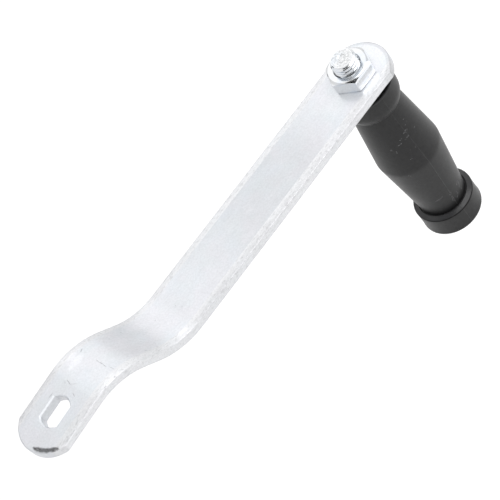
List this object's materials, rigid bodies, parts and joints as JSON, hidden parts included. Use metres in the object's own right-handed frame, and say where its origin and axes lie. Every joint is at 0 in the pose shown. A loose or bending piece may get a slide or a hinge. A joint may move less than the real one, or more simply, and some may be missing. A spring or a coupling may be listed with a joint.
{
  "type": "crank handle",
  "caption": "Hand crank handle: joggled flat steel arm with a double-D drive hole at one end and a free-turning plastic grip on a bolt at the other.",
  "frame": {"origin": "middle of the double-D drive hole, on the arm's front face, which meets the winch's clamping nut", "axes": "+Z along the drive shaft, out of the front face; +X along the arm towards the grip; the grip hangs below the arm"},
  "size_m": [0.2245, 0.031, 0.1416],
  "materials": {
    "plated_bar": "zinc-plated hot-rolled bar, satin, pale grey",
    "bright_zinc": "bright zinc-plated steel",
    "black_plastic": "moulded black plastic, satin"
  },
  "bodies": {
    "crank": {"arm": "plated_bar", "bolt": "bright_zinc", "lock_nut": "bright_zinc"},
    "handgrip": {"grip": "black_plastic"}
  },
  "joints": [
    {"name": "grip_spin", "type": "hinge", "parent": "crank", "child": "handgrip", "pos_m": [0.18849, 0, -0.03433], "axis": [0.0802, 0, 0.9968], "continuous": true}
  ]
}
